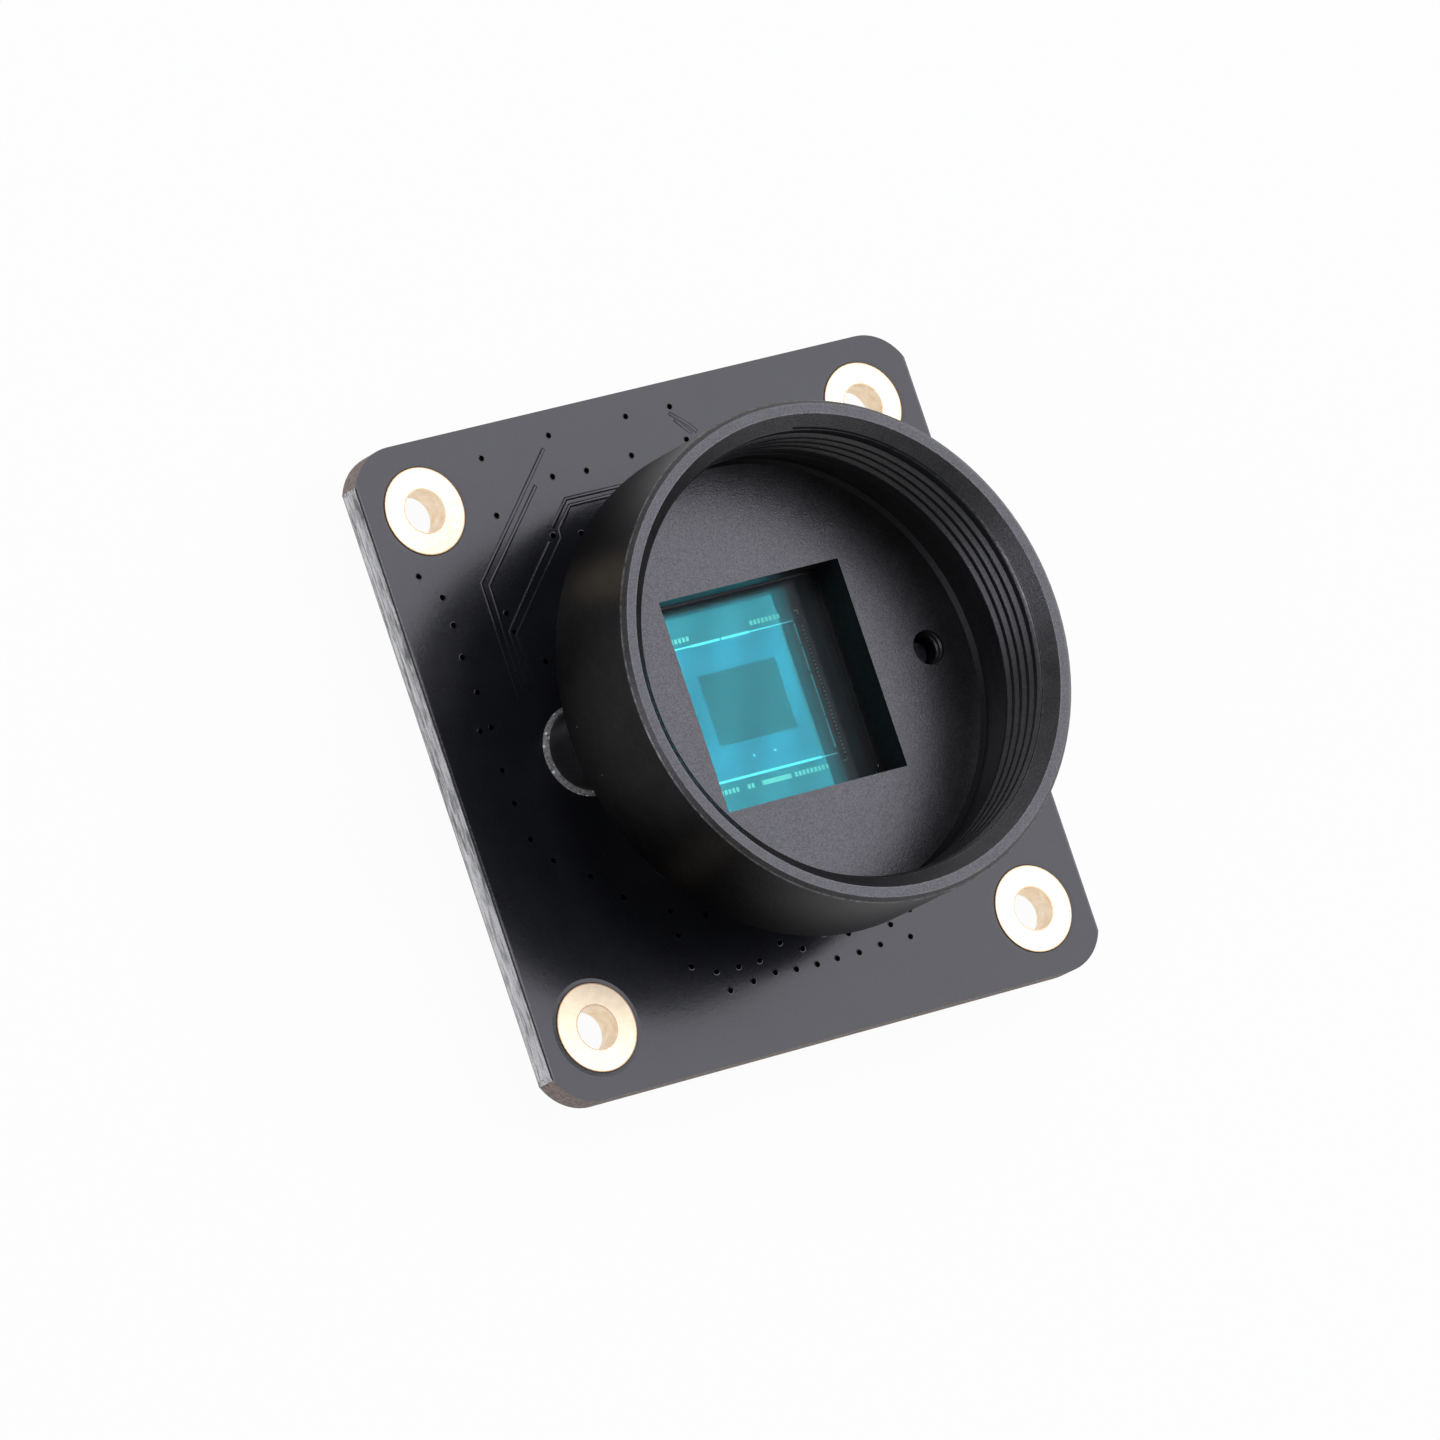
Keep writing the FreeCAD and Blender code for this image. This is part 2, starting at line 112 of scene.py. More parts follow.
def calculate(tree, operation, a, b=0.0, clamp=False):
    """The result of a Math node on two numbers or sockets."""
    node = add_node(tree, "ShaderNodeMath", {0: a, 1: b}, operation=operation)
    node.use_clamp = clamp
    return node.outputs[0]


def multiply(tree, a, b):
    return calculate(tree, "MULTIPLY", a, b)


def add(tree, a, b):
    return calculate(tree, "ADD", a, b)


def subtract(tree, a, b):
    return calculate(tree, "SUBTRACT", a, b)


def above(tree, value, limit):
    """One where the value is over the limit, else nothing."""
    return calculate(tree, "GREATER_THAN", value, limit)


def below(tree, value, limit):
    """One where the value is under the limit, else nothing."""
    return calculate(tree, "LESS_THAN", value, limit)


def hypotenuse(tree, a, b):
    """The distance that two square sides span."""
    return calculate(tree, "SQRT", add(tree, multiply(tree, a, a), multiply(tree, b, b)))


def blend_colour(tree, share, first, second):
    """A colour between two, by a mask."""
    node = add_node(tree, "ShaderNodeMix", {0: share, 6: first, 7: second}, data_type="RGBA")
    return node.outputs[2]


def blend_value(tree, share, first, second):
    """A number between two, by a mask."""
    node = add_node(tree, "ShaderNodeMix", {0: share, 2: first, 3: second}, data_type="FLOAT")
    return node.outputs[0]


def object_place(tree):
    """Object coordinates, whole and split into X, Y and Z."""
    place = add_node(tree, "ShaderNodeTexCoord").outputs["Object"]
    split = add_node(tree, "ShaderNodeSeparateXYZ", {0: place})
    return place, split.outputs[0], split.outputs[1], split.outputs[2]


def new_material(name, **values):
    """A material with one Principled shader, its plain values set."""
    material = bpy.data.materials.new(name)
    material.use_nodes = True
    shader = material.node_tree.nodes["Principled BSDF"]
    for key, value in values.items():
        shader.inputs[key.replace("_", " ")].default_value = value
    return material, material.node_tree, shader


def set_surface(tree, shader, colour, rough, height, strength):
    """Link a colour, a roughness and a height in millimetres to the shader."""
    tree.links.new(colour, shader.inputs["Base Color"])
    tree.links.new(rough, shader.inputs["Roughness"])
    bump = add_node(tree, "ShaderNodeBump",
                    {"Height": height, "Distance": MM, "Strength": strength})
    tree.links.new(bump.outputs[0], shader.inputs["Normal"])


def rgb(red, green, blue):
    """A colour with its alpha."""
    return (red, green, blue, 1.0)


# %% [markdown]
# ## Shared effects as node groups
#
# Several finishes need the same small effects: a fine mottled grain, a sprinkle of dust, the
# fine circles that a lathe leaves, a worn line along a turned edge, and a soft-edged rectangle.
# Each is a node group, made once. A group gives out a mask, a number or a height, and the
# material decides what to do with it.

# %% Start a group
def new_group(name, inputs, outputs):
    """A node group with float inputs and outputs, its input node and its output node."""
    group = bpy.data.node_groups.new(name, "ShaderNodeTree")
    for label, value in inputs.items():
        socket = group.interface.new_socket(label, in_out="INPUT", socket_type="NodeSocketFloat")
        socket.default_value = value
    for label in outputs:
        group.interface.new_socket(label, in_out="OUTPUT", socket_type="NodeSocketFloat")
    source = group.nodes.new("NodeGroupInput")
    target = group.nodes.new("NodeGroupOutput")
    return group, source, target


def use_group(tree, group, **values):
    """Place a group in a material, with its own values."""
    node = tree.nodes.new("ShaderNodeGroup")
    node.node_tree = group
    for key, value in values.items():
        socket = node.inputs[key.replace("_", " ").capitalize()]
        if isinstance(value, bpy.types.NodeSocket):
            tree.links.new(value, socket)
        else:
            socket.default_value = value
    return node


def use_mask(tree, group, **values):
    """The mask of a group with its own values."""
    return use_group(tree, group, **values).outputs["Mask"]


# %% Grain: a mottled mask and a fine height
grain, source, target = new_group("grain", {"Size": 0.4, "Detail": 4.0}, ["Mask", "Height"])
place, x, y, z = object_place(grain)
per_metre = calculate(grain, "DIVIDE", 1000.0, source.outputs["Size"])
noise = add_node(grain, "ShaderNodeTexNoise",
                 {"Vector": place, "Scale": per_metre, "Detail": source.outputs["Detail"],
                  "Roughness": 0.6})
spread = calculate(grain, "MULTIPLY_ADD", noise.outputs["Fac"], 2.4)
spread.node.inputs[2].default_value = -0.7
clear = calculate(grain, "MINIMUM", calculate(grain, "MAXIMUM", spread, 0.0), 1.0)
grain.links.new(clear, target.inputs["Mask"])
grain.links.new(noise.outputs["Fac"], target.inputs["Height"])
print("group", grain.name)

# %% Dust: sparse bright specks
dust, source, target = new_group("dust", {"Spacing": 1.2, "Speck": 0.05}, ["Mask"])
place, x, y, z = object_place(dust)
per_metre = calculate(dust, "DIVIDE", 1000.0, source.outputs["Spacing"])
cells = add_node(dust, "ShaderNodeTexVoronoi", {"Vector": place, "Scale": per_metre})
size = calculate(dust, "DIVIDE", source.outputs["Speck"], source.outputs["Spacing"])
inside = below(dust, cells.outputs["Distance"], size)
chance = add_node(dust, "ShaderNodeSeparateColor", {0: cells.outputs["Color"]})
rare = above(dust, chance.outputs[0], 0.6)
dust.links.new(multiply(dust, inside, rare), target.inputs["Mask"])
print("group", dust.name)

# %% Lathe marks: fine circles about the optical axis
lathe, source, target = new_group("lathe marks", {"Pitch": 0.12}, ["Height"])
place, x, y, z = object_place(lathe)
across = hypotenuse(lathe, x, y)
along = add(lathe, across, z)
turns = multiply(lathe, along, calculate(lathe, "DIVIDE", 1000.0, source.outputs["Pitch"]))
lines = add_node(lathe, "ShaderNodeTexNoise", {"W": turns, "Scale": 1.0, "Detail": 2.0},
                 noise_dimensions="1D")
lathe.links.new(lines.outputs["Fac"], target.inputs["Height"])
print("group", lathe.name)

# %% Turned edge: a soft line at one radius and height about the optical axis
edge_line, source, target = new_group("turned edge", {"Radius": 14.0, "Height": 14.65,
                                                      "Width": 0.08}, ["Mask"])
place, x, y, z = object_place(edge_line)
across = hypotenuse(edge_line, x, y)
out = subtract(edge_line, multiply(edge_line, across, 1000.0), source.outputs["Radius"])
up = subtract(edge_line, multiply(edge_line, z, 1000.0), source.outputs["Height"])
distance = hypotenuse(edge_line, out, up)
fade = calculate(edge_line, "SUBTRACT", 1.0,
                 calculate(edge_line, "DIVIDE", distance, source.outputs["Width"]), clamp=True)
edge_line.links.new(fade, target.inputs["Mask"])
print("group", edge_line.name)

# %% Rectangle: one inside, nothing outside, with a soft edge, in millimetres
rectangle, source, target = new_group("rectangle", {"Left": -1.0, "Right": 1.0, "Bottom": -1.0,
                                                    "Top": 1.0, "Soft": 0.03}, ["Mask"])
place, x, y, z = object_place(rectangle)
x_mm = multiply(rectangle, x, 1000.0)
y_mm = multiply(rectangle, y, 1000.0)
sides = [subtract(rectangle, x_mm, source.outputs["Left"]),
         subtract(rectangle, source.outputs["Right"], x_mm),
         subtract(rectangle, y_mm, source.outputs["Bottom"]),
         subtract(rectangle, source.outputs["Top"], y_mm)]
nearest = calculate(rectangle, "MINIMUM", calculate(rectangle, "MINIMUM", sides[0], sides[1]),
                    calculate(rectangle, "MINIMUM", sides[2], sides[3]))
share = calculate(rectangle, "DIVIDE", nearest, source.outputs["Soft"], clamp=True)
rectangle.links.new(share, target.inputs["Mask"])
print("group", rectangle.name)

# %% [markdown]
# ## The circuit board: black lacquer over glass fibre
#
# The front and back are a glossy black lacquer. The left and right sides were scored and
# snapped, so pale torn glass fibre shows there, and the top, bottom and corners were routed,
# which leaves a brown dusty cut. One material serves the whole solid: the place on the board
# tells which of the three finishes is meant. The lacquer stops a little short of each gold
# ring, and that small step is drawn as a slope in the bump.

# %% Distance from the nearest plated hole
def hole_distance(tree, x, y):
    """Folds the board onto one quarter, so one mask serves all four holes."""
    out_x = subtract(tree, calculate(tree, "ABSOLUTE", x), hole_spacing / 2)
    out_y = subtract(tree, calculate(tree, "ABSOLUTE", y), hole_spacing / 2)
    return hypotenuse(tree, out_x, out_y)


# %% Board material
def make_fibre_colour(tree, x, y, z):
    """Torn glass fibre: pale strands that run along the snapped side."""
    along = add_node(tree, "ShaderNodeCombineXYZ", {0: x, 1: multiply(tree, y, 0.1), 2: z})
    strands = add_node(tree, "ShaderNodeTexNoise",
                       {"Vector": along.outputs[0], "Scale": 6500.0, "Detail": 4.0,
                        "Roughness": 0.65})
    patch = add_node(tree, "ShaderNodeTexNoise",
                     {"Vector": along.outputs[0], "Scale": 1500.0, "Detail": 3.0})
    pale = add(tree, multiply(tree, strands.outputs["Fac"], 2.1),
               multiply(tree, patch.outputs["Fac"], 0.9))
    pale = calculate(tree, "MULTIPLY", subtract(tree, pale, 1.20), 2.2, clamp=True)
    return blend_colour(tree, pale, rgb(0.25, 0.25, 0.24), rgb(0.98, 0.98, 0.96))


def make_board_finish():
    material, tree, shader = new_material("black_lacquer_and_glass_fibre", IOR=1.52)
    place, x, y, z = object_place(tree)
    from_middle = calculate(tree, "ABSOLUTE", subtract(tree, z, (board_front + board_back) / 2))
    half_thick = (board_front - board_back) / 2
    skin = above(tree, from_middle, half_thick - margin)
    from_side = subtract(tree, board_high.x, calculate(tree, "ABSOLUTE", x))
    snapped = below(tree, from_side, score_inset + margin)
    scored = multiply(tree, snapped, above(tree, from_middle, half_thick - score_depth))
    fibre_grain = use_group(tree, grain, size=0.22, detail=5.0)
    broad = use_mask(tree, grain, size=2.2, detail=3.0)
    torn = make_fibre_colour(tree, x, y, z)
    torn = blend_colour(tree, multiply(tree, scored, 0.2), torn, rgb(0.05, 0.05, 0.05))
    # A black band 0.09 mm down the snapped side: the cut lacquer, and painted shade under the
    # face's edge
    cut_lacquer_and_shade = above(tree, from_middle, half_thick - 0.09 * MM)
    torn = blend_colour(tree, cut_lacquer_and_shade, torn, rgb(0.012, 0.012, 0.013))
    routed = blend_colour(tree, fibre_grain.outputs["Mask"], rgb(0.20, 0.15, 0.125),
                          rgb(0.44, 0.37, 0.32))
    side = blend_colour(tree, snapped, routed, torn)
    lacquer = blend_colour(tree, broad, rgb(0.0120, 0.0127, 0.0165), rgb(0.0165, 0.0174, 0.0220))
    away = hole_distance(tree, x, y)
    opening = below(tree, away, land_radius + 0.07 * MM)
    lacquer = blend_colour(tree, opening, lacquer, rgb(0.03, 0.022, 0.012))
    # A speckled pale line on the lacquer by each snapped side: chipped lacquer, and a painted
    # highlight of the edge's lip
    burr_and_highlight = multiply(tree, below(tree, from_side, score_inset + 0.10 * MM),
                    above(tree, from_side, score_inset + 0.03 * MM))
    burr_and_highlight = multiply(tree, burr_and_highlight, fibre_grain.outputs["Mask"])
    lacquer = blend_colour(tree, burr_and_highlight, lacquer, rgb(0.16, 0.16, 0.17))
    colour = blend_colour(tree, skin, side, lacquer)
    gloss = blend_value(tree, fibre_grain.outputs["Mask"], 0.17, 0.21)
    gloss = blend_value(tree, opening, gloss, 0.6)
    rough = blend_value(tree, skin, 0.85, gloss)
    fine = use_group(tree, grain, size=0.17, detail=2.0)
    skin_height = multiply(tree, fine.outputs["Height"], 0.004)
    past_ring = subtract(tree, away, land_radius + 0.06 * MM)
    slope = calculate(tree, "DIVIDE", past_ring, 0.22 * MM, clamp=True)
    lip = calculate(tree, "DIVIDE", from_side, score_inset + 0.16 * MM, clamp=True)
    steps = add(tree, multiply(tree, slope, 0.03), multiply(tree, lip, 0.03))
    skin_height = add(tree, skin_height, steps)
    side_height = multiply(tree, fibre_grain.outputs["Height"], 0.24)
    height = blend_value(tree, skin, side_height, skin_height)
    set_surface(tree, shader, colour, rough, height, 0.8)
    return material


board_finish = make_board_finish()
print("material", board_finish.name)

# %% [markdown]
# ## Bare metals
#
# The corner rings are plated with pale gold, the ends of the small parts are tinned, and the
# screws are blackened. A metal's colour is the colour of its reflection. A fine relief and a
# slightly uneven roughness keep it from looking like a computer's perfect mirror.

# %% Metal finishes
def make_metal_finish(name, low, high, rough_low, rough_high, grain_size=0.5, relief=0.006):
    material, tree, shader = new_material(name, Metallic=1.0)
    mottle = use_mask(tree, grain, size=grain_size, detail=5.0)
    fine = use_group(tree, grain, size=grain_size * 0.2, detail=3.0)
    colour = blend_colour(tree, mottle, rgb(*low), rgb(*high))
    rough = blend_value(tree, fine.outputs["Mask"], rough_low, rough_high)
    height = multiply(tree, fine.outputs["Height"], relief)
    set_surface(tree, shader, colour, rough, height, 0.6)
    return material


tin_finish = make_metal_finish("tinned_metal", (0.62, 0.62, 0.61), (0.80, 0.80, 0.79), 0.24, 0.4,
                               0.35)
lid_finish = make_metal_finish("nickel_lid", (0.60, 0.57, 0.52), (0.72, 0.69, 0.63), 0.2, 0.34,
                               0.8)
solder_finish = make_metal_finish("solder", (0.66, 0.67, 0.68), (0.82, 0.83, 0.84), 0.16, 0.3, 0.6)
contact_finish = make_metal_finish("gold_flashed_spring", (0.80, 0.60, 0.30),
                                   (0.92, 0.74, 0.42), 0.22, 0.36, 0.4)
screw_finish = make_metal_finish("black_zinc", (0.030, 0.030, 0.033), (0.07, 0.07, 0.075), 0.3,
                                 0.45, 0.3, 0.02)
print("metals", tin_finish.name, screw_finish.name)

# %% [markdown]
# ## Brown edges of the gold rings
#
# A fine brown line runs along the sharp edges of each ring. Folding the board's coordinates onto
# one hole gives the distance from the nearest hole, so one mask draws the line on all four
# rings, inside and outside.

# %% Gold with brown edges
def make_gold_finish():
    material = make_metal_finish("pale_gold_plating", (0.86, 0.72, 0.50), (0.95, 0.81, 0.60),
                                 0.34, 0.48)
    tree = material.node_tree
    shader = tree.nodes["Principled BSDF"]
    plated = shader.inputs["Base Color"].links[0].from_socket
    place, x, y, z = object_place(tree)
    away = hole_distance(tree, x, y)
    outer = above(tree, away, land_radius - 0.06 * MM)
    ring = above(tree, away, bore_radius + 0.004 * MM)
    inner = multiply(tree, ring, below(tree, away, bore_radius + 0.06 * MM))
    brown = multiply(tree, calculate(tree, "MAXIMUM", outer, inner), 0.75)
    wall = subtract(tree, 1.0, ring)
    streaks = use_mask(tree, grain, size=0.5, detail=4.0)
    wall_colour = blend_colour(tree, streaks, rgb(0.84, 0.62, 0.40), rgb(0.97, 0.84, 0.66))
    colour = blend_colour(tree, wall, plated, wall_colour)
    colour = blend_colour(tree, brown, colour, rgb(0.42, 0.22, 0.09))
    tree.links.new(colour, shader.inputs["Base Color"])
    return material


gold_finish = make_gold_finish()
print("material", gold_finish.name)

# %% [markdown]
# ## The anodised lens mount
#
# The mount is aluminium, turned on a lathe, blasted with fine beads and anodised black. The
# dyed film lets the metal under it shine through, so the finish is mostly a very dark metal
# with a share of dull film, over a fine grain. The film's surface reflects a little less than
# bare metal would, so the specular tint is pale grey. The outside is duller and darker. The small
# slope round the floor is darkened with painted shade. The turned edges carry grey lines, worn
# metal that also stands in for painted highlights of the edges. The foot of each screw ear was
# left as cast and rough, with bright bare specks.

# %% Mount material
def make_mount_finish():
    material, tree, shader = new_material("black_anodised_aluminium",
                                          Specular_Tint=rgb(0.8, 0.8, 0.8))
    place, x, y, z = object_place(tree)
    mottle = use_mask(tree, grain, size=1.6, detail=4.0)
    fine = use_group(tree, grain, size=0.09, detail=1.0)
    marks = use_group(tree, lathe, pitch=0.12)
    across = hypotenuse(tree, x, y)
    outside = above(tree, across, cup_radius - margin)
    film = blend_colour(tree, mottle, rgb(0.066, 0.065, 0.068), rgb(0.080, 0.079, 0.083))
    blasted = blend_colour(tree, mottle, rgb(0.008, 0.0076, 0.008), rgb(0.014, 0.0132, 0.014))
    film = blend_colour(tree, outside, film, blasted)
    speckle = blend_value(tree, fine.outputs["Mask"], 0.72, 1.28)
    film = add_node(tree, "ShaderNodeVectorMath", {0: film, 3: speckle},
                    operation="SCALE").outputs[0]
    # Painted shade: the small slope round the floor is darkened
    floor_slope_shade = multiply(tree, above(tree, across, 12.64 * MM),
                         below(tree, z, floor_z + 0.27 * MM))
    film = blend_colour(tree, multiply(tree, floor_slope_shade, 0.8), film, rgb(0.010, 0.010, 0.011))
    # Grey lines on the turned edges: worn metal, and painted highlights of the edges
    wear_and_highlight = None
    for radius, height, width, wear_and_highlight_share in ((14.0, 14.65, 0.08, 0.15), (13.42, 14.65, 0.08, 0.15),
                                        (14.25, 14.40, 0.10, 0.8), (12.66, 13.89, 0.12, 0.8)):
        line = use_mask(tree, edge_line, radius=radius, height=height, width=width)
        mask = multiply(tree, line, wear_and_highlight_share)
        wear_and_highlight = mask if wear_and_highlight is None else calculate(tree, "MAXIMUM", wear_and_highlight, mask)
    chips = use_mask(tree, grain, size=0.35, detail=5.0)
    wear_and_highlight = multiply(tree, wear_and_highlight, chips)
    colour = blend_colour(tree, wear_and_highlight, film, rgb(0.36, 0.36, 0.37))
    lint = use_mask(tree, dust, spacing=1.7, speck=0.045)
    specks = multiply(tree, lint, 0.5)
    colour = blend_colour(tree, specks, colour, rgb(0.28, 0.28, 0.28))
    out = subtract(tree, calculate(tree, "ABSOLUTE", x), screw_x)
    away = hypotenuse(tree, out, y)
    flare = multiply(tree, above(tree, away, ear_radius - 0.03 * MM),
                     below(tree, away, ear_radius + 0.4 * MM))
    low = below(tree, z, board_front + foot_height + margin)
    foot = multiply(tree, flare, low)
    cast = use_group(tree, grain, size=0.2, detail=6.0)
    bare = blend_colour(tree, cast.outputs["Mask"], rgb(0.07, 0.07, 0.07), rgb(0.48, 0.48, 0.47))
    spots = use_mask(tree, dust, spacing=0.4, speck=0.12)
    bare = blend_colour(tree, spots, bare, rgb(0.9, 0.9, 0.88))
    colour = blend_colour(tree, foot, colour, bare)
    plain = calculate(tree, "MAXIMUM", foot, specks)
    metal = multiply(tree, subtract(tree, 1.0, plain), blend_value(tree, outside, 0.8, 0.96))
    tree.links.new(metal, shader.inputs["Metallic"])
    satin = blend_value(tree, mottle, 0.29, 0.35)
    satin = blend_value(tree, outside, satin, 0.34)
    rough = blend_value(tree, foot, satin, 0.8)
    turned = multiply(tree, marks.outputs["Height"], 0.0022)
    blast = multiply(tree, fine.outputs["Height"], 0.012)
    rough_foot = multiply(tree, cast.outputs["Height"], 0.12)
    height = blend_value(tree, foot, add(tree, turned, blast), rough_foot)
    set_surface(tree, shader, colour, rough, height, 0.8)
    return material


mount_finish = make_mount_finish()
print("material", mount_finish.name)

# %% [markdown]
# ## Two glasses
#
# The filter is a blue-green absorbing glass and the sensor's own cover is clear. Both are real
# refracting solids, so the sensor below appears lifted, as it does through thick glass.
# The filter is coated against reflection, and the cover more weakly. A dark specular tint stands
# for each coating: it dims what the glass mirrors and leaves the refraction as it is.

# %% Glass materials
def make_glass(name, tint, smudge_tint, mirror):
    material, tree, shader = new_material(name, Roughness=0.0, IOR=1.5, Transmission_Weight=1.0,
                                          Specular_Tint=rgb(mirror, mirror, mirror))
    haze = use_mask(tree, grain, size=2.5, detail=2.0)
    colour = blend_colour(tree, multiply(tree, haze, 0.6), tint, smudge_tint)
    tree.links.new(colour, shader.inputs["Base Color"])
    return material


filter_finish = make_glass("blue_green_filter_glass", rgb(0.27, 0.90, 0.96),
                           rgb(0.29, 0.86, 0.93), 0.1)
cover_finish = make_glass("clear_cover_glass", rgb(0.97, 0.99, 0.99), rgb(0.95, 0.97, 0.97),
                          0.5)
print("glasses", filter_finish.name, cover_finish.name)

# %% [markdown]
# ## The sensor's silicon
#
# Polished silicon is a dim mirror. Its middle, the pixel area, is covered with tiny lenses and
# colour dots that scatter the light, so it is darker and greyer. Around it run brighter and
# bluer bands of circuits. Broad slanting bands, lighter and darker, are a painted reflection in
# the colour. The glass above lifts the die and slides what is seen a little, so the pattern's
# rectangles are written as they lie on the silicon.

# %% Silicon material
def make_silicon():
    material, tree, shader = new_material("etched_silicon", Metallic=0.6)
    columns = use_mask(tree, grain, size=0.9, detail=2.0)
    pixels = use_mask(tree, rectangle, left=-2.82, right=2.52, bottom=-2.03, top=2.13, soft=0.04)
    circuits = use_mask(tree, rectangle, left=-5.6, right=3.39, bottom=-3.9, top=3.8, soft=0.05)
    base = blend_colour(tree, columns, rgb(0.14, 0.17, 0.165), rgb(0.16, 0.19, 0.185))
    logic = blend_colour(tree, columns, rgb(0.12, 0.215, 0.255), rgb(0.14, 0.245, 0.285))
    base = blend_colour(tree, circuits, base, logic)
    dots = blend_colour(tree, columns, rgb(0.08, 0.13, 0.125), rgb(0.10, 0.145, 0.14))
    base = blend_colour(tree, pixels, base, dots)
    place, x, y, z = object_place(tree)
    # Painted reflection: broad slanting bands, lighter and darker, scale the colour
    slant = add(tree, multiply(tree, x, 920.0), multiply(tree, y, -390.0))
    reflection_wave = calculate(tree, "COSINE", multiply(tree, add(tree, slant, 1.5), 1.8))
    reflection_bands = add(tree, multiply(tree, reflection_wave, 0.18), 1.0)
    base = add_node(tree, "ShaderNodeVectorMath", {0: base, 3: reflection_bands},
                    operation="SCALE").outputs[0]
    tree.links.new(base, shader.inputs["Base Color"])
    rough = blend_value(tree, pixels, 0.03, 0.3)
    tree.links.new(rough, shader.inputs["Roughness"])
    return material


silicon_finish = make_silicon()
print("material", silicon_finish.name)

# %% [markdown]
# ## Ceramics and mouldings
#
# Chip parts are glazed or plain ceramic, and the chips and the connector are moulded. All are
# non-metals with a faint mottle, a fine relief and a little dust, so one maker serves them with
# different colours, sizes of grain and gloss.

# %% Plain finishes with grain
def make_plain_finish(name, low, high, rough_low, rough_high, grain_size=0.4, relief=0.02,
                      dust_share=0.0):
    material, tree, shader = new_material(name)
    mottle = use_mask(tree, grain, size=grain_size, detail=4.0)
    fine = use_group(tree, grain, size=grain_size * 0.25, detail=3.0)
    colour = blend_colour(tree, mottle, rgb(*low), rgb(*high))
    lint = use_mask(tree, dust, spacing=0.9, speck=0.04)
    colour = blend_colour(tree, multiply(tree, lint, dust_share), colour, rgb(0.6, 0.6, 0.58))
    rough = blend_value(tree, fine.outputs["Mask"], rough_low, rough_high)
    height = multiply(tree, fine.outputs["Height"], relief)
    set_surface(tree, shader, colour, rough, height, 0.7)
    return material


adhesive_finish = make_plain_finish("black_adhesive", (0.006, 0.006, 0.006),
                                    (0.014, 0.014, 0.014), 0.35, 0.5)
package_finish = make_plain_finish("dark_ceramic", (0.035, 0.031, 0.031), (0.055, 0.050, 0.049),
                                   0.5, 0.65)
housing_finish = make_plain_finish("cream_moulding", (0.55, 0.50, 0.40), (0.64, 0.59, 0.49),
                                   0.42, 0.55, 0.7, 0.02, 0.3)
slider_finish = make_plain_finish("black_moulding", (0.012, 0.012, 0.012), (0.024, 0.024, 0.024),
                                  0.38, 0.52, 0.5, 0.03, 0.4)
compound_finish = make_plain_finish("moulding_compound", (0.010, 0.010, 0.011),
                                    (0.024, 0.024, 0.025), 0.55, 0.7, 0.15, 0.05, 0.4)
tan_finish = make_plain_finish("tan_ceramic", (0.30, 0.19, 0.10), (0.42, 0.28, 0.16), 0.4, 0.55,
                               0.25, 0.02)
glaze_finish = make_plain_finish("black_glaze", (0.008, 0.008, 0.009), (0.02, 0.02, 0.022), 0.18,
                                 0.3, 0.3, 0.01)
ferrite_finish = make_plain_finish("grey_ferrite", (0.045, 0.043, 0.042), (0.085, 0.08, 0.078),
                                   0.5, 0.65, 0.2, 0.03)
print("plain finishes made")

# %% [markdown]
# ## Dress the solids
#
# Each solid of the frame keeps its mesh and gets its finish. The list reads like a parts list:
# the finish on the left, the solids that have it on the right.

# %% Give each solid its finish
finishes = [
    (board_finish, "circuit_board"),
    (gold_finish, "plated_holes"),
    (mount_finish, "lens_mount"),
    (screw_finish, "mount_screws"),
    (filter_finish, "filter_glass"),
    (adhesive_finish, "filter_adhesive"),
    (cover_finish, "sensor_glass"),
    (silicon_finish, "sensor_die"),
    (package_finish, "sensor_package", "oscillator_base"),
    (solder_finish, "sensor_solder"),
    (housing_finish, "connector_housing"),
    (contact_finish, "connector_contacts"),
    (slider_finish, "connector_slider"),
    (lid_finish, "oscillator_lid"),
    (tan_finish, "capacitor_bodies", "reservoir_bodies"),
    (glaze_finish, "resistor_bodies"),
    (ferrite_finish, "bead_bodies"),
    (compound_finish, "regulator_bodies", "memory_chip", "control_chip"),
    (tin_finish, "connector_anchors", "capacitor_ends", "resistor_ends", "bead_ends",
     "reservoir_ends", "regulator_leads", "memory_chip_leads", "control_chip_lands"),
]
bare = set(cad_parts)
for material, *names in finishes:
    for name in names:
        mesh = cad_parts[name].data
        mesh.materials.clear()
        mesh.materials.append(material)
        bare.remove(name)
print("bare solids:", sorted(bare))

# %% [markdown]
# ## Turn a bmesh into a piece
#
# Every new piece ends the same way: close vertices are merged, the faces that touch are made to
# face the same way, smooth shading stops at sharp edges, and the object rides on its body. The
# operator guesses which way is out. It guesses wrong on the lens thread, the dust film and the
# painted shade discs of the back vias, which are drawn all the same.

# %% Piece helpers
def add_object(name, data):
    """A new object in the scene, at the origin."""
    thing = bpy.data.objects.new(name, data)
    bpy.context.scene.collection.objects.link(thing)
    return thing


def mesh_object(name, bm, material):
    """An object with the mesh of a bmesh, and one material."""
    mesh = bpy.data.meshes.new(name)
    bm.to_mesh(mesh)
    bm.free()
    mesh.materials.append(material)
    return add_object(name, mesh)


def finish_piece(name, bm, material, body="module", sharp_over=35):
    """A named object at the origin, riding on a body."""
    bmesh.ops.remove_doubles(bm, verts=bm.verts, dist=1e-7)
    bmesh.ops.recalc_face_normals(bm, faces=bm.faces)
    piece = mesh_object(name, bm, material)
    piece.data.shade_smooth()
    piece.data.set_sharp_from_angle(angle=math.radians(sharp_over))
    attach(piece, body)
    print(name, len(piece.data.polygons), "faces")


